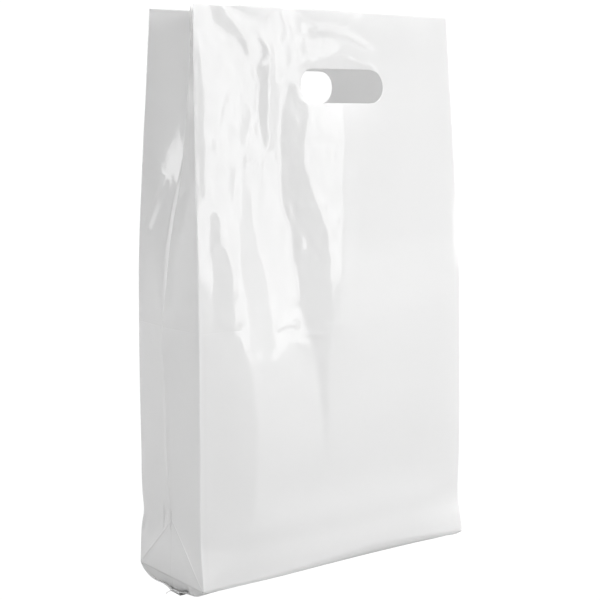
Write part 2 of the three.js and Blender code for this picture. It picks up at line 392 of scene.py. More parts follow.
# %% Dents and crinkles of the front panel
PINCH_SIZE = 2.6
PINCH_ABOVE = 36.0
PINCH_REACH = 22.0
x, t = front_relief.x, front_relief.t
left_part = 1 - smooth(-20, 20, x)
handled = left_part * smooth(205, 235, t)
front_relief.crinkle(11, 0.15, 46, handled)
front_relief.crinkle(5, 0.07, 70, smooth(20, 60, t) * (1 - handled))
front_relief.crease(-0.35, 1.6, MIDDLE_CREASE, 1 - smooth(-112, -90, x))
pinch = np.exp(-((t - PINCH_ABOVE) / PINCH_REACH) ** 2)
pinch = pinch * smooth(0, 60, HALF_WIDTH - np.abs(x))
front_relief.height += PINCH_SIZE * pinch
FRONT_RIDGES = [
    # arcs between the mouth and the hand hole, and the curl on the upper edge of the hole
    (-1.2, 2.6, [(-27, 429), (-12, 433.5), (2, 433), (20, 428.5), (46, 418)]),
    (0.5, 1.4, [(14, 407), (20, 410), (27, 408.5), (34, 407)]),
    # the film below the mouth is pressed in under each scallop
    (-0.35, 3.5, [(-92, 449), (-82, 443), (-72, 441), (-62, 443), (-52, 449)]),
    (-0.5, 4.0, [(-32, 447), (-20, 441), (-8, 439), (8, 441), (24, 446), (38, 450)]),
    # crescents in and under the crease across the middle
    (0.35, 1.7, [(-66, 198), (-58, 202), (-48, 203), (-40, 199)]),
    (0.35, 1.6, [(-40, 196), (-30, 192), (-18, 190), (-8, 194)]),
    (0.3, 1.5, [(-22, 200), (-10, 198), (2, 199)]),
    (0.3, 1.6, [(-34, 172), (-28, 174), (-20, 171)]),
    (0.4, 2.0, [(-118, 212), (-110, 208), (-102, 202)]),
    (0.3, 1.6, [(-46, 190), (-40, 186), (-30, 184)]),
    (-0.25, 2.4, [(-52, 306), (-45, 298), (-40, 285), (-28, 262), (-14, 246)]),
    (0.45, 2.4, [(-42, 297), (-34, 293), (-24, 296)]),
    # the crease across the bright patch, and a short tear-like tick
    (-0.35, 1.8, [(-28, 347), (-14, 345), (-2, 344), (9, 347)]),
    (-0.35, 1.3, [(-3.5, 338), (-3, 333), (-1.5, 328)]),
    (-0.45, 2.6, [(-88, 333), (-82, 330), (-76, 331)]),
    # folds that run out across the lower half
    (-0.4, 4.0, [(-24, 180), (-22, 150), (-18, 118)]),
    (-0.3, 5.0, [(6, 92), (16, 104), (24, 116)]),
    (-0.3, 6.0, [(36, 98), (50, 106), (64, 110)]),
]
for size, width, line in FRONT_RIDGES:
    front_relief.ridge(size, width, line, tail=0.2)
front_relief.downward_lens(14, -72, 24, PANEL_HEIGHT, -9.5)
front_relief.downward_lens(15, -8, 29, PANEL_HEIGHT, -10.5)
front_relief.downward_lens(16, 7, 41, HOLE_ABOVE + HOLE_RADIUS, 10.5)
print("at the hand hole's upper edge the film is pressed in by",
      round(float(-front_relief.at(np.array(7.0), np.array(HOLE_ABOVE + HOLE_RADIUS))), 1), "mm")

# %% [markdown]
# ## The back panel
# Nobody looks at the back first, but a bag that was packed flat carries the same folds there.
# At the height of the hand hole the back panel bows inwards, because the gussets pull it.

# %% Folds of the back panel
back_relief = Relief(HALF_WIDTH)
BACK_BOW = 6.0
back_relief.fold([
    (4.0, 5, 12, [(210, -96, -78), (280, -104, -84), (340, -100, -88)]),
    (-4.0, 5, 12, [(230, -60, -44), (300, -66, -46), (370, -58, -44)]),
    (4.2, 5, 12, [(205, 28, 44), (290, 34, 56), (360, 40, 52)]),
    (-3.6, 6, 16, [(20, 96, 120), (110, 98, 124), (190, 104, 118)]),
    (3.4, 6, 16, [(16, -122, -104), (90, -124, -98), (180, -118, -104)])])
x, t = back_relief.x, back_relief.t
back_relief.crinkle(23, 0.10, 52, smooth(150, 260, t))
back_relief.crinkle(29, 0.05, 64, smooth(10, 60, t))
back_relief.crease(-0.5, 2.2, MIDDLE_CREASE - 1.0, 1 - 0.6 * smooth(20, 60, np.abs(x)))
back_relief.height -= BACK_BOW * (1 - (x / HALF_WIDTH) ** 2) * smooth(250, 390, t)
print("the back bows inwards by", round(float(-back_relief.height.min()), 1), "mm")

# %% [markdown]
# ## The gussets
# A gusset is the pleat in the side. Its middle fold is deep at the mouth and flattens out in the
# lower half, where only the pressed line is left. Two creases run from the bottom corners up to a
# point on the middle line, where the gusset was folded flat for the weld. On the left gusset the
# fold sends a branch down to the back, and a small tab is pressed in above the point. Here across
# is in millimetres from the middle of the gusset, and grows towards the back of the bag.

# %% Folds of the gussets
TUCK_APEX = 47.0
TUCK_RISE = TUCK_APEX / HALF_DEPTH
V_WIDTH, V_BLUNT = 4.0, 0.6
BELOW_V = 0.6            # the film below the V creases stands out this much further
MIDDLE_WIDTH, MIDDLE_BLUNT = 3.5, 0.5


def v_creases(relief, size):
    """The two creases that rise from the bottom corners to one point on the middle line."""
    line = TUCK_APEX - TUCK_RISE * np.abs(relief.x)
    away = (relief.t - line) / math.hypot(1, TUCK_RISE)
    keep = 1 - smooth(TUCK_APEX, TUCK_APEX + 6, relief.t)
    relief.height += size * np.exp(-np.sqrt(away ** 2 + V_BLUNT ** 2) / V_WIDTH) * keep
    relief.height += BELOW_V * (1 - smooth(-10, 0, away)) * keep


def middle_crease(relief, size, top):
    """The pressed line that the flattened gusset fold leaves down the middle."""
    away = np.sqrt((relief.x + 0.5) ** 2 + MIDDLE_BLUNT ** 2)
    keep = smooth(20, 50, relief.t) * (1 - smooth(top - 60, top, relief.t))
    relief.height += size * np.exp(-away / MIDDLE_WIDTH) * keep


left_gusset = Relief(HALF_DEPTH)
# a branch of the middle fold runs down to the back, with a short dash across its top
left_gusset.ridge(1.35, 3.4, [(15, 318), (20, 306), (28, 292), (38, 274)], tail=0.12)
left_gusset.ridge(0.4, 2.0, [(13, 318), (26, 317)])
v_creases(left_gusset, 0.9)
# the film leans down below the mouth of the gusset and up at its very edge
left_gusset.ridge(0.6, 7.0, [(80, 434), (44, 437), (10, 441), (-20, 447), (-60, 454)], tail=0.1)
left_gusset.crease(-0.35, 2.2, MIDDLE_CREASE, 1.0)
left_gusset.crinkle(41, 0.07, 50, 1.0)
# the two sides of the tab, and the corner where the V crease meets the back crease
left_gusset.ridge(-0.9, 2.0, [(12, 56), (12, 46), (11, 38)])
left_gusset.ridge(-0.9, 2.0, [(2, 57), (2.5, 48), (3, 40)])
left_gusset.ridge(-1.6, 5.0, [(40, 36), (46, 33), (50, 31)], tail=0.6)

right_gusset = Relief(HALF_DEPTH)
right_gusset.fold([(5.0, 4, 20, [(70, -8, 2), (160, -8, 3)]),
                   (-5.0, 4, 12, [(215, -12, -4), (300, -16, -4)])])
v_creases(right_gusset, 0.9)
middle_crease(right_gusset, -0.7, 230)
right_gusset.crease(-0.35, 2.2, MIDDLE_CREASE, 1.0)
right_gusset.crinkle(43, 0.08, 50, 1.0)
print("gusset relief up to", round(float(left_gusset.height.max()), 2), "mm")


# %% [markdown]
# ## The walls as surfaces
# Each wall is now a function: give it a place across and a height, and it returns a point in
# space. Near its edges the relief fades out, so that neighbouring walls meet on one clean crease.
# The fold of the left gusset is a groove between two flat facets. The facet towards the back is
# wider and gets steeper downwards, so that all of it catches the same lamp as one bright line.

# %% Points on the walls
fold_place = curve_through([
    (0, 0.5), (40, 0.5), (61, 0.51), (128, 0.52), (203, 0.54), (239, 0.55), (268, 0.555),
    (293, 0.52), (314, 0.48), (348, 0.48), (400, 0.5), (PANEL_HEIGHT, 0.5)])
pressed_in = curve_through([
    (0, 0), (188, 0), (203, 0.9), (222, 1.9), (247, 2.1), (275, 1.8), (310, 1.1), (322, 0.5),
    (345, 0), (PANEL_HEIGHT, 0)])
facet_slope = curve_through([(203, 0.70), (222, 0.61), (247, 0.51), (275, 0.42), (310, 0.36)])
standing_out = curve_through([(44, 0), (60, 0.8), (128, 0.7), (185, 0.3), (203, 0)])
STEEPER = 3.0            # how much steeper the facet towards the front is
LINE_WIDTH = 2.3
EDGE_FADE = 5.0
BACK_CALM = 70.0         # the back panel has its own outline this far in from its creases


def stack(px, py, pz):
    """Points as an array whose last axis is x, y, z."""
    return np.stack(np.broadcast_arrays(px, py, pz), axis=-1)


def front_point(x, t):
    """A point of the front panel, x across and t above the bottom creases."""
    edge = smooth(0, EDGE_FADE, half_width(t) - np.abs(x))
    return stack(x, front_y(t) - front_relief.at(x, t) * edge, CREASE_HEIGHT + t)


def back_point(x, t):
    """A point of the back panel. Its relief is drawn as seen from behind."""
    inside = half_width(t) - np.abs(x)
    y = back_y(t) + (back_middle_y(t) - back_y(t)) * smooth(0, BACK_CALM, inside)
    return stack(x, y + back_relief.at(-x, t) * smooth(0, EDGE_FADE, inside), CREASE_HEIGHT + t)


def gusset_point(side, share, t):
    """A point of a gusset. share is 0 at the front crease, 0.5 on the fold, 1 at the back crease."""
    relief = left_gusset if side < 0 else right_gusset
    fold = fold_place(t) if side < 0 else 0.5
    part = np.where(share < 0.5, 2 * share * fold, 1 - 2 * (1 - share) * (1 - fold))
    y = front_y(t) + (back_y(t) - front_y(t)) * part
    inwards = 1 - np.abs(2 * share - 1)
    edge = smooth(0, 0.06, share) * smooth(0, 0.06, 1 - share)
    depth = (2 * part - 1) * HALF_DEPTH
    beside = (part - fold) * (back_y(t) - front_y(t))
    slope = facet_slope(t) * np.where(beside < 0, STEEPER, 1)
    pressed = np.maximum(pressed_in(t) - slope * np.abs(beside), 0) if side < 0 else 0
    pressed = pressed - standing_out(t) * np.exp(-np.abs(beside) / LINE_WIDTH)
    x = half_width(t) - fold_in(t) * inwards - pressed + relief.at(depth, t) * edge
    dip = MOUTH_DIP * inwards * smooth(PANEL_HEIGHT - 40, PANEL_HEIGHT, t)
    return stack(side * x, y, CREASE_HEIGHT + t - dip)


PANELS = {-1: front_point, 1: back_point}
print("the gusset folds in by", round(float(fold_in(PANEL_HEIGHT)), 1), "mm at the mouth")

# %% [markdown]
# ## The turned-under base
# Below the bottom creases the tube is turned under as two strips that meet at the weld. In the
# middle of the bag they lie low. Towards each end they lift off the table, so that the tuck between
# them shows as a dark pocket. The strips are functions too, of x and of y, and each blends from
# its section in the middle of the bag to its section at the end.

# %% Points on the base strips
WELD_HEIGHT = 1.2
# for the front strip and the back strip: the section in the middle, and the section at the ends
STRIP_SECTIONS = {
    -1: [[(-HALF_DEPTH, CREASE_HEIGHT), (-46.4, 10.6), (-42, 9.2), (-32, 5.6), (-19, 1.6),
          (-8, 1.2), (WELD_Y, WELD_HEIGHT)],
         [(-HALF_DEPTH, CREASE_HEIGHT), (-43, 8.6), (-38.6, 6.6), (-28, 5.0), (-18, 3.6),
          (-8, 1.4), (WELD_Y, WELD_HEIGHT)]],
    1: [[(WELD_Y, WELD_HEIGHT), (6, 0.4), (20, 0.2), (34, 0.3), (41.5, 1.9), (46, 6.2),
         (HALF_DEPTH, CREASE_HEIGHT)],
        [(WELD_Y, 1.4), (6, 2.5), (12, 3.2), (22, 2.9), (31, 3.6), (40, 6.4), (45, 9.2),
         (HALF_DEPTH, CREASE_HEIGHT)]]}
STRIPS = {side_y: [curve_through(section) for section in pair]
          for side_y, pair in STRIP_SECTIONS.items()}
END_LENGTH = 22.0


def strip_point(side_y, x, y):
    """A point of the front strip (side_y -1) or the back strip (side_y 1)."""
    ends = 1 - smooth(0, END_LENGTH, HALF_WIDTH - np.abs(x))
    middle, end = STRIPS[side_y]
    return stack(x, y, middle(y) + (end(y) - middle(y)) * ends)


print("the weld is", WELD_HEIGHT, "mm above the table")

# %% [markdown]
# ## Weaving the grid
# The walls are joined into one grid. Columns run round the bag and rows go up it. They are
# close together where the film is busy and wide apart where it is calm, which spends the
# triangles where they show. Each upright crease gets five columns on a tight curve, because a
# real crease in film is a tiny bend that catches the light, and never a perfect edge.

# %% Rows and columns
def spaced(start, end, steps):
    """Places from start to end, with a list of (share of the length, step) pairs."""
    shares, sizes = np.array(steps, float).T
    fine = np.linspace(start, end, 4001)
    step = np.interp(np.linspace(0, 1, 4001), shares, sizes)
    count = np.concatenate([[0], np.cumsum(abs(fine[1] - fine[0]) / step[1:])])
    whole = max(2, int(round(count[-1])))
    return np.interp(np.linspace(0, count[-1], whole + 1), count, fine)


rows = spaced(0, PANEL_HEIGHT, [(0, 1.3), (0.03, 2.6), (0.1, 5.0), (0.34, 5.6), (0.42, 2.1),
                                (0.48, 3.0), (0.85, 3.0), (0.9, 2.2), (0.96, 2.2), (1, 1.2)])
front_columns = spaced(-1, 1, [(0, 0.013), (0.5, 0.0150), (0.6, 0.030), (0.9, 0.036), (1, 0.018)])
back_columns = spaced(1, -1, [(0, 0.03), (0.2, 0.052), (0.8, 0.052), (1, 0.03)])
gusset_shares = spaced(0, 1, [(0, 0.04), (0.2, 0.052), (0.72, 0.052), (0.84, 0.024), (1, 0.018)])
CREASE_RADIUS = 0.8
FOLD_RADIUS = 0.6
bend = np.linspace(0, 1, 5)
print(len(rows), "rows,", len(front_columns), "front columns and", len(back_columns), "back columns")


def bent(before, corner, after):
    """Five columns on a tight curve from one wall round a crease to the next."""
    return [(1 - s) ** 2 * before + 2 * s * (1 - s) * corner + s * s * after for s in bend]


# %% Columns all the way round
t = rows
radius = CREASE_RADIUS * smooth(0, 12, t)
fold_radius = FOLD_RADIUS * smooth(20, 60, t)
w = half_width(t)
depth = back_y(t) - front_y(t)
columns = []


def gusset_columns(side, backwards):
    """The columns of one gusset between its two creases, with a tight curve at its fold."""
    shares = gusset_shares[1:-1] / 2
    fold_share = fold_radius / depth
    to_fold = [*shares[:-1], shares[-1] - fold_share / 2]
    made = [gusset_point(side, share, t) for share in to_fold]
    made += bent(gusset_point(side, 0.5 - fold_share, t), gusset_point(side, 0.5, t),
                 gusset_point(side, 0.5 + fold_share, t))
    made += [gusset_point(side, 1 - share, t) for share in to_fold[::-1]]
    return made[::-1] if backwards else made


def corner_columns(side, side_y):
    """The five columns round one upright crease, from panel to gusset."""
    near = radius / depth
    share = near if side_y < 0 else 1 - near
    corner = stack(side * w, front_y(t) if side_y < 0 else back_y(t), CREASE_HEIGHT + t)
    return bent(PANELS[side_y](side * (w - radius), t), corner, gusset_point(side, share, t))


first_front = len(columns)
columns += [front_point(place * (w - radius), t) for place in front_columns[1:-1]]
crease_columns = [len(columns)]
columns += corner_columns(1, -1)
columns += gusset_columns(1, False)
crease_columns.append(len(columns))
columns += corner_columns(1, 1)[::-1]
first_back = len(columns)
columns += [back_point(place * (w - radius), t) for place in back_columns[1:-1]]
crease_columns.append(len(columns))
columns += corner_columns(-1, 1)
columns += gusset_columns(-1, True)
crease_columns.append(len(columns))
columns += corner_columns(-1, -1)[::-1]
grid = np.stack(columns, axis=1)
print("grid of", grid.shape[0], "rows and", grid.shape[1], "columns")

# %% [markdown]
# ## Rounding the foot
# The bottom crease is sharp at the corners of the bag, where four layers meet, and rounder in the
# middle of each panel, where only the weight of the film presses it. A quadratic curve from the
# wall, through the crease, to the strip gives that roundness; its size changes along the panel.

# %% Foot roundness
FOOT_STEPS = 6
SMALLEST = 0.01
foot_size = curve_through([(-136.5, 0), (-100, 1.0), (-50, 3.5), (0, 7.0), (30, 9.0), (70, 7.0),
                           (110, 3.0), (HALF_WIDTH, 0)])


def foot_point(side_y, x, s):
    """A point near the bottom crease. s is -1 at the wall end, 0 on the crease and 1 below."""
    size = foot_size(x) + SMALLEST
    wall = PANELS[side_y]
    above = wall(x, size)
    below = strip_point(side_y, x, side_y * (HALF_DEPTH - size))
    corner = wall(x, 0 * x)
    u = np.asarray((s + 1) / 2)[..., None]
    return (1 - u) ** 2 * above + 2 * u * (1 - u) * corner + u * u * below


def round_the_foot(points, side_y):
    """Moves wall points that are closer to the bottom crease than its roundness."""
    x, above = points[..., 0], points[..., 2] - CREASE_HEIGHT
    size = foot_size(x) + SMALLEST
    near = above < size
    s = -np.clip(above / size, 0, 1)
    return np.where(near[..., None], foot_point(side_y, x, s), points)


front_last = first_front + len(front_columns) - 2
back_last = first_back + len(back_columns) - 2
grid[:, first_front:front_last] = round_the_foot(grid[:, first_front:front_last], -1)
grid[:, first_back:back_last] = round_the_foot(grid[:, first_back:back_last], 1)
print("the foot is rounded by", round(float(foot_size(30.0)), 1), "mm where it is softest")

# %% [markdown]
# ## Vertices and faces
# A small builder collects points and four-sided faces. The walls wrap round, the cells over each
# hand hole are left out, and rings of cells between the round-ended outline and the gap close it
# up again. That keeps the edge of the hole smooth, which a boolean cut would not.

# %% Mesh builder
points = []
faces = []
painted_highlight = []


def add_points(array, rubbing_and_sheen=0.0):
    """Adds points and returns their numbers in the same layout. The last argument marks where a
    highlight is painted on the creases.
    """
    start = len(points)
    points.extend(array.reshape(-1, 3).tolist())
    painted_highlight.extend(np.broadcast_to(rubbing_and_sheen, array.shape[:-1]).ravel().tolist())
    return np.arange(start, len(points)).reshape(array.shape[:-1])


def add_cells(numbers, wrap=False, flip=False, skip=None):
    """Adds the faces between the rows and columns of a layout of numbers."""
    nr, nc = numbers.shape
    for r in range(nr - 1):
        for c in range(nc if wrap else nc - 1):
            d = (c + 1) % nc
            if skip is not None and skip(r, c):
                continue
            quad = [numbers[r, c], numbers[r, d], numbers[r + 1, d], numbers[r + 1, c]]
            faces.append([int(n) for n in (quad[::-1] if flip else quad)])


HOLE_MARGIN = 7.0


def hole_block(first, last):
    """The columns and rows whose cells make room for one hand hole."""
    across = np.abs(grid[len(rows) // 2, first:last, 0] - HOLE_X)
    inside = np.where(across < HOLE_HALF_LENGTH + HOLE_MARGIN)[0]
    level = np.where(np.abs(rows - HOLE_ABOVE) < HOLE_RADIUS + HOLE_MARGIN)[0]
    return first + inside[0], first + inside[-1], level[0], level[-1]


blocks = [hole_block(first_front, front_last), hole_block(first_back, back_last)]


def in_a_block(r, c):
    """True if the cell lies over a hand hole."""
    return any(c0 <= c < c1 and r0 <= r < r1 for c0, c1, r0, r1 in blocks)


# The five columns round each upright crease carry a painted highlight, strongest in the middle of
# the bend.
marks = np.zeros(grid.shape[:2])
for first in crease_columns:
    marks[:, first:first + len(bend)] = np.sin(math.pi * (0.1 + 0.8 * bend))
wall_numbers = add_points(grid, marks)
add_cells(wall_numbers, wrap=True, skip=in_a_block)
print(len(points), "points in the walls")

# %% Rings round the hand holes
RING_SHARES = [0.0, 0.05, 0.16, 0.34, 0.6]


def hole_rings(block, wall):
    """Fills a block with rings of cells between the hand hole and the walls' own grid."""
    c0, c1, r0, r1 = block
    path = [(r0, c) for c in range(c0, c1)] + [(r, c1) for r in range(r0, r1)]
    path += [(r1, c) for c in range(c1, c0, -1)] + [(r, c0) for r in range(r1, r0, -1)]
    outer = np.array([wall_numbers[r, c] for r, c in path])
    edge = np.array([points[n] for n in outer])
    x, above = edge[:, 0], edge[:, 2] - CREASE_HEIGHT
    straight = HOLE_HALF_LENGTH - HOLE_RADIUS
    core = np.clip(x, HOLE_X - straight, HOLE_X + straight)
    away = np.stack([x - core, above - HOLE_ABOVE], axis=1)
    away = away / np.linalg.norm(away, axis=1)[:, None]
    rim_x = core + HOLE_RADIUS * away[:, 0]
    rim_t = HOLE_ABOVE + HOLE_RADIUS * away[:, 1]
    layers = []
    for share in RING_SHARES:
        rx, rt = rim_x + (x - rim_x) * share, rim_t + (above - rim_t) * share
        layers.append(add_points(wall(rx, rt)))
    layers.append(outer)
    count = len(outer)
    for inner, beyond in zip(layers[:-1], layers[1:]):
        for i in range(count):
            j = (i + 1) % count
            faces.append([int(inner[i]), int(beyond[i]), int(beyond[j]), int(inner[j])])
    return count


for block, wall in zip(blocks, [front_point, back_point]):
    print("hand hole edge of", hole_rings(block, wall), "points")

# %% [markdown]
# ## Strips and tucks
# The two strips follow the columns of the panels down to the weld. At each end the gusset's own
# film carries on inwards below its bottom line, folds along a slant, and comes back out above
# the strip: that is the tuck. A square layout of points makes half a tuck, and its diagonal is the
# slant. On one side of the diagonal a point lies on the gusset's film, and on the other on the
# film that has turned back over the strip.

# %% Strips
def strip_length(side_y):
    """How far a strip runs from its bottom crease to the weld."""
    return HALF_DEPTH - side_y * WELD_Y


def strip_cells(side_y, first, last):
    """One turned-under strip, joined to the lowest row of its panel."""
    x = np.concatenate([[-HALF_WIDTH], np.sort(grid[0, first:last, 0]), [HALF_WIDTH]])
    layers = [foot_point(side_y, x, 0 * x + s) for s in np.linspace(0, 1, FOOT_STEPS + 1)]
    start = HALF_DEPTH - foot_size(x) - 2 * SMALLEST
    for y in side_y * (HALF_DEPTH - strip_length(side_y) * gusset_shares[1:]):
        layers.append(strip_point(side_y, x, np.where(np.abs(y) > start, side_y * start, y)))
    add_cells(add_points(np.stack(layers)), flip=side_y < 0)


strip_cells(-1, first_front, front_last)
strip_cells(1, first_back, back_last)
print(len(points), "points with the strips")

# %% Tucks
TUCK_LIFT = 0.5
LOWEST = 0.6
tuck_depth = {
    -1: curve_through([(0, 0), (0.2, 0.3), (0.45, 0.8), (0.58, 4.6), (0.8, 3.6), (1, 2.6)]),
    1: curve_through([(0, 0), (0.2, 0.3), (0.5, 0.9), (0.8, 1.8), (1, 2.6)])}


def tuck_cells(side, side_y):
    """Half a tuck: the gusset's film below its bottom line, folded along the slant."""
    share = gusset_shares
    reach = strip_length(side_y)
    layout = np.zeros((len(share), len(share), 3))
    for i, d in enumerate(share):
        inward = float(tuck_depth[side_y](d))
        turn_y = side_y * (HALF_DEPTH - reach * d)
        lift = TUCK_LIFT * smooth(0, 0.15, d)
        end_x = np.array(side * (HALF_WIDTH - inward))
        turn_z = max(float(strip_point(side_y, end_x, np.array(turn_y))[2]) + lift, LOWEST)
        for j, e in enumerate(share):
            if e <= d:
                part = e / d if d > 0 else 0.0
                top_y = side_y * HALF_DEPTH * (1 - d)
                y = top_y + (turn_y - top_y) * part
                z = CREASE_HEIGHT + (turn_z - CREASE_HEIGHT) * part
                layout[i, j] = (side * (HALF_WIDTH - inward * part), y, z)
            else:
                y = side_y * (HALF_DEPTH - reach * e)
                on_strip = strip_point(side_y, end_x, np.array(y))
                layout[i, j] = (end_x, y, float(on_strip[2]) + lift)
    numbers = add_points(layout)
    for i in range(len(share) - 1):
        for j in range(len(share) - 1):
            a, b, c, d = (int(numbers[place]) for place in
                          ((i, j), (i + 1, j), (i + 1, j + 1), (i, j + 1)))
            if i == j:
                faces.extend([[a, b, c], [a, c, d]])
            else:
                faces.append([a, b, c, d])


for side in (-1, 1):
    for side_y in (-1, 1):
        tuck_cells(side, side_y)
print(len(points), "points with the tucks")

# %% [markdown]
# ## The skirt
# Below the weld a narrow skirt of film is left over. It lies folded forwards under the base, and
# its ends stick out a little past the bag as thin pointed tails.

# %% Skirt
SKIRT_FRONT = -13.0
SKIRT_HEIGHT = 0.35
SKIRT_WAVE = 21.0
TAIL = {-1: 7.0, 1: 4.0}
TAIL_LIFT = 4.2


def skirt_cells():
    """The flap of film below the weld, with a pointed tail at each end."""
    beyond = np.array([1, 0.8, 0.6, 0.4, 0.25, 0.12, 0.05])
    x = np.concatenate([-HALF_WIDTH - TAIL[-1] * beyond, np.linspace(-HALF_WIDTH, HALF_WIDTH, 70),
                        HALF_WIDTH + TAIL[1] * beyond[::-1]])
    past = np.clip(np.abs(x) - HALF_WIDTH, 0, None) / np.where(x < 0, TAIL[-1], TAIL[1])
    back_edge = WELD_Y + 0.6 - 5.0 * past
    front_edge = SKIRT_FRONT + np.sin(x / SKIRT_WAVE) + 8.0 * smooth(0, 0.4, past) + 1.5 * past
    layers = []
    for s in np.linspace(0, 1, 6):
        y = back_edge + (front_edge - back_edge) * s
        curl = 0.25 * np.sin(math.pi * s) * (1 - past)
        lifted = TAIL_LIFT * s * smooth(0, 0.15, past) * (1 - 0.7 * past)
        layers.append(stack(x, y, SKIRT_HEIGHT + 0.1 * past + curl + lifted))
    add_cells(add_points(np.stack(layers)))


skirt_cells()
print(len(points), "points and", len(faces), "faces")

# %% [markdown]
# ## From points to film
# Points that lie on one another are merged, which welds strips, tucks and walls into one sheet.
# A Solidify modifier then gives the sheet its thickness. It is applied at once, so the piece is
# plain closed geometry.

# %% Film object
MERGE = 0.03 * MM


def film_object():
    """The bag as one thin closed shell."""
    mesh = bpy.data.meshes.new("carrier_bag_film")
    mesh.from_pydata([[c * MM for c in p] for p in points], [], faces)
    mesh.attributes.new("painted_highlight", "FLOAT", "POINT").data.foreach_set("value", painted_highlight)
    work = bmesh.new()
    work.from_mesh(mesh)
    bmesh.ops.remove_doubles(work, verts=work.verts, dist=MERGE)
    loose = [v for v in work.verts if not v.link_faces]
    bmesh.ops.delete(work, geom=loose, context="VERTS")
    bmesh.ops.recalc_face_normals(work, faces=work.faces)
    work.to_mesh(mesh)
    work.free()
    film = add_object("carrier_bag_film", mesh)
    thick = film.modifiers.new("thickness", "SOLIDIFY")
    thick.thickness = FILM * MM
    thick.offset = 0
    thick.use_even_offset = False
    for chosen in bpy.context.selected_objects:
        chosen.select_set(False)
    bpy.context.view_layer.objects.active = film
    film.select_set(True)
    bpy.ops.object.modifier_apply(modifier=thick.name)
    for polygon in film.data.polygons:
        polygon.use_smooth = True
    return film


film = film_object()
film.data.calc_loop_triangles()
print("film has", len(film.data.loop_triangles), "triangles")

# %% [markdown]
# ## The finish of the film
# White polyethylene film is a milky plastic: light soaks in and comes out again on either side,
# and the surface is smooth enough to mirror a lamp softly. A glass-like or a subsurface shader
# would be slow and noisy on so thin a sheet. So the base is a Principled shader with some
# Translucent mixed in, which lets light through to the inside. The gloss varies a little where
# hands and machines have rubbed it, and a very fine bump gives the orange-peel of blown film.
# The sharp upright creases carry a painted highlight, and so does the front leg of the left
# gusset's V crease: their colour is mixed towards white. The marks that are a hair wide, too
# narrow for the mesh, are lines in the bump.

# %% Shader helper
class Wire:
    """An output of a node. Sums, products and comparisons of wires add Math nodes."""

    def __init__(self, sheet, socket):
        self.sheet = sheet
        self.socket = socket

    def maths(self, operation, *values, clamp=False):
        settings = {"operation": operation, "use_clamp": clamp}
        return self.sheet.node("Math", settings, dict(enumerate(values)))

    def __add__(self, other):
        return self.maths("ADD", self, other)

    def __sub__(self, other):
        return self.maths("SUBTRACT", self, other)

    def __rsub__(self, other):
        return self.maths("SUBTRACT", other, self)

    def __mul__(self, other):
        return self.maths("MULTIPLY", self, other)

    __radd__, __rmul__ = __add__, __mul__

    def __abs__(self):
        return self.maths("ABSOLUTE", self)

    def __gt__(self, limit):
        return self.maths("GREATER_THAN", self, limit)

    def __lt__(self, limit):
        return self.maths("LESS_THAN", self, limit)

    def near_zero(self, reach):
        """1 where the value is 0, falling to 0 at its reach on either side."""
        return self.maths("SUBTRACT", 1.0, abs(self * (1.0 / reach)), clamp=True)


class ShaderSheet:
    """The emptied node tree of a material or a world. Nodes are added by one method."""

    def __init__(self, owner):
        owner.use_nodes = True
        self.tree = owner.node_tree
        self.tree.nodes.clear()

    def node(self, kind, settings=None, inputs=None, output=0):
        """Adds a node. Settings come first, then the values or links of its sockets."""
        made = self.tree.nodes.new("ShaderNode" + kind)
        for name, value in (settings or {}).items():
            setattr(made, name, value)
        for name, value in (inputs or {}).items():
            if isinstance(value, Wire):
                self.tree.links.new(value.socket, made.inputs[name])
            else:
                made.inputs[name].default_value = value
        return Wire(self, made.outputs[output]) if made.outputs else None

    def two_faces(self, end, shown, felt):
        """Ends the tree: the camera sees one shader, and the bag gets the light of the other."""
        seen = self.node("LightPath", output="Is Camera Ray")
        self.node(end, {}, {"Surface": self.node("MixShader", {}, {
            0: seen, 1: felt, 2: shown})})


# %% White film material
GREY_FILM = (0.875, 0.875, 0.875, 1)
PALE_FILM = (0.905, 0.905, 0.903, 1)
# the white of the painted highlight on the creases
PAINTED_HIGHLIGHT_WHITE = (1.0, 1.0, 1.0, 1)
LIGHT_THROUGH = (0.92, 0.92, 0.92, 1)
THROUGH_SHARE = 0.40
GRAIN_HEIGHT, HAIR_HEIGHT = 0.00022, 0.0008
white_film = bpy.data.materials.new("white_film")
sheet = ShaderSheet(white_film)
place = sheet.node("TexCoord", output="Object")


def noise(scale, detail, distortion=0.0):
    """Soft noise over the film. scale is in blobs per metre."""
    return sheet.node("TexNoise", {}, {
        "Vector": place, "Scale": scale, "Detail": detail, "Distortion": distortion})


def blend(share, first, second):
    """A mix of two colours."""
    return sheet.node("Mix", {"data_type": "RGBA"}, {
        "Factor": share, 6: first, 7: second}, output=2)


cloudy = noise(14.0, 3.0)
rubbing_and_sheen = noise(60.0, 4.0)
peel = noise(420.0, 2.0)
ripple = noise(95.0, 3.0, 0.6)
roughness = 0.04 + 0.05 * rubbing_and_sheen + 0.02 * cloudy
grain = sheet.node("Bump", {}, {
    "Strength": 0.35, "Distance": GRAIN_HEIGHT, "Height": 0.75 * ripple + 0.25 * peel})
print("the grain uses", len(sheet.tree.nodes), "nodes")

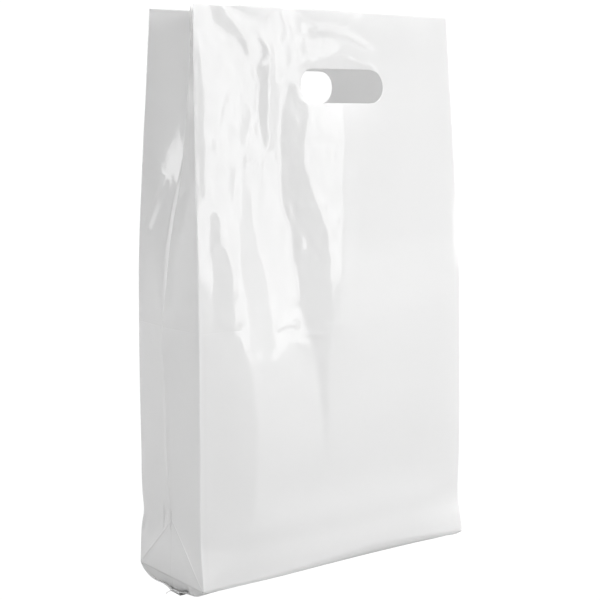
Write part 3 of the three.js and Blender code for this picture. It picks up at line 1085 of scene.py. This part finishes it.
# %% Hair-fine creases
GUSSETS_FROM = 129.5
TAB_FROM, TAB_TO = 38.0, 57.0
SLANT = 0.7              # turns a height above a slanted line into a distance from it
axes = sheet.node("SeparateXYZ", {}, {0: place}).socket.node.outputs
across, deep, tall = [(1 / MM) * Wire(sheet, axis) for axis in axes]
tall = tall - CREASE_HEIGHT
on_gusset = abs(across) > GUSSETS_FROM
v_line = ((tall - TUCK_APEX + TUCK_RISE * abs(deep)) * SLANT).near_zero(1.0) * on_gusset
front_leg = v_line * (deep < -1.0) * (across < 0.0)
back_leg = v_line - front_leg
on_tab = (tall > TAB_FROM) * (tall < TAB_TO) * on_gusset
tab_line = ((deep - 2.2).near_zero(0.6) + (deep - 12.0).near_zero(0.7)) * on_tab
pleat = (deep - 1.0).near_zero(0.6) * (tall < TUCK_APEX) * on_gusset
folded_once = (tall - MIDDLE_CREASE + 1.6 * cloudy).near_zero(0.8) * (across < -98.0)
creased = 0.4 * back_leg + 0.35 * front_leg - 0.6 * tab_line - 0.2 * pleat - 0.1 * folded_once
surface = sheet.node("Bump", {}, {
    "Strength": 1.0, "Distance": HAIR_HEIGHT, "Normal": grain, "Height": creased})
print("with the creases it uses", len(sheet.tree.nodes), "nodes")

# %% Film shader
# Painted highlight: the columns round the upright creases are mixed towards white.
crease_highlight = sheet.node("Attribute", {"attribute_name": "painted_highlight"}, output="Fac")
# front_leg also mixes the colour towards white: a painted highlight along the front leg of the left
# V crease.
colour = blend(0.8 * crease_highlight + front_leg, blend(cloudy, GREY_FILM, PALE_FILM), PAINTED_HIGHLIGHT_WHITE)
gloss = sheet.node("BsdfPrincipled", {}, {
    "Base Color": colour, "Roughness": roughness, "Normal": surface, "IOR": 1.5,
    "Specular IOR Level": 0.75})
glow = sheet.node("BsdfTranslucent", {}, {"Color": LIGHT_THROUGH})
film_shader = sheet.node("MixShader", {}, {0: THROUGH_SHARE, 1: gloss, 2: glow})
sheet.node("OutputMaterial", {}, {"Surface": film_shader})
film.data.materials.append(white_film)
print("white film uses", len(sheet.tree.nodes), "nodes")

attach(film, "root")
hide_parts("bag_film")

# %% [markdown]
# ## The floor
# The bag stands on a white table that has no edge and no shadow, as in a cut-out. A real table
# would throw so much light back up that the walls would lose their shape. So the floor has two
# faces: the camera sees it lit to plain white, and the bag receives the light of a grey one.

# %% Floor
FLOOR_REACH = 40.0
FLOOR_GREY = (0.42, 0.42, 0.42, 1)
WHITE = (1, 1, 1, 1)
SEEN_WHITE = 1.05
floor_mesh = bpy.data.meshes.new("floor")
corners = [(-1, -1), (1, -1), (1, 1), (-1, 1)]
floor_mesh.from_pydata([(FLOOR_REACH * i, FLOOR_REACH * j, 0) for i, j in corners],
                       [], [(0, 1, 2, 3)])
floor = add_object("floor", floor_mesh)
floor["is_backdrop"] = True
floor_finish = bpy.data.materials.new("pale_floor")
floor_sheet = ShaderSheet(floor_finish)
lit = floor_sheet.node("Emission", {}, {"Color": WHITE, "Strength": SEEN_WHITE})
matt = floor_sheet.node("BsdfDiffuse", {}, {"Color": FLOOR_GREY})
floor_sheet.two_faces("OutputMaterial", lit, matt)
floor_mesh.materials.append(floor_finish)
print("the floor reaches", FLOOR_REACH, "m each way")

# %% [markdown]
# ## The lamps
# Glossy film is a mirror, so each lamp is placed by where the film mirrors it. Three tall narrow
# softboxes stand side by side at the front right: the flat film of the left half of the front
# mirrors them, and each turned band drops out of them and reads as a grey fold. A wide dim one
# beside them gives the right half its even tone. Three small lamps at the left are there for the
# gusset's fold, its branch and the bright patch above them. The lamps at the side and in front
# fill, the one behind shines through the back panel to the inside, and a broad soft sun overhead
# shades what leans.

# %% Lamps
def softbox(name, position, target, width, height, radiance, roll=0.0):
    """A rectangular lamp of the given radiance, aimed at a point and hidden from the camera."""
    lamp = bpy.data.lights.new(name, "AREA")
    lamp.shape = "RECTANGLE"
    lamp.size = width
    lamp.size_y = height
    lamp.energy = radiance * math.pi * width * height
    made = add_object(name, lamp)
    made.location = position
    made.rotation_mode = "QUATERNION"
    aimed = (Vector(target) - Vector(position)).to_track_quat("-Z", "Y")
    made.rotation_quaternion = aimed @ Quaternion((0, 0, 1), math.radians(roll))
    made.visible_camera = False


FRONT_Y = -1.64
for name, x, width, radiance in [("window_softbox_left", 0.79, 0.22, 4.0),
                                 ("window_softbox_middle", 1.00, 0.18, 3.1),
                                 ("window_softbox_right", 1.18, 0.18, 3.8)]:
    softbox(name, (x, FRONT_Y, 0.58), (x, 0.0, 0.58), width, 0.90, radiance)
softbox("window_neighbour", (1.92, FRONT_Y, 0.60), (1.92, 0.0, 0.60), 1.26, 1.20, 0.8)
softbox("side_key", (2.33, -0.76, 0.88), (0, 0, 0.2), 1.6, 1.6, 3.4)
softbox("front_fill", (0.5, -2.4, 1.3), (0, 0, 0.15), 1.4, 0.8, 4.0)
softbox("gusset_flame", (-1.739, 0.75, 0.642), (-0.13, 0, 0.345), 0.42, 0.17, 5.0, roll=30.0)
softbox("gusset_branch", (-1.057, 0.375, 0.136), (-0.13, 0, 0.25), 0.24, 0.13, 3.4)
softbox("gusset_fold", (-1.126, -0.082, 0.32), (-0.13, 0, 0.25), 0.20, 0.16, 4.2)
softbox("back_light", (0.1, 1.9, 0.8), (0, 0, 0.25), 1.2, 0.8, 5.4)

sun = bpy.data.lights.new("overhead", "SUN")
sun.energy = 6.1
sun.angle = math.radians(36)
add_object("overhead", sun)

# %% World
DIM = 0.12
world = bpy.data.worlds.new("studio")
scene.world = world
air = ShaderSheet(world)
dim = air.node("Background", {}, {"Color": WHITE, "Strength": DIM})
white = air.node("Background", {}, {"Color": WHITE, "Strength": SEEN_WHITE})
air.two_faces("OutputWorld", white, dim)

settings = scene.view_settings
settings.view_transform = "Standard"
settings.look = "None"
scene.cycles.use_denoising = True
print("the camera sees a white backdrop, and the bag a dim one")

# %% Size of the model, and the end
size = {"cad": [list(corner) for corner in cad_box],
        "visual": [list(corner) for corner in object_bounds()]}
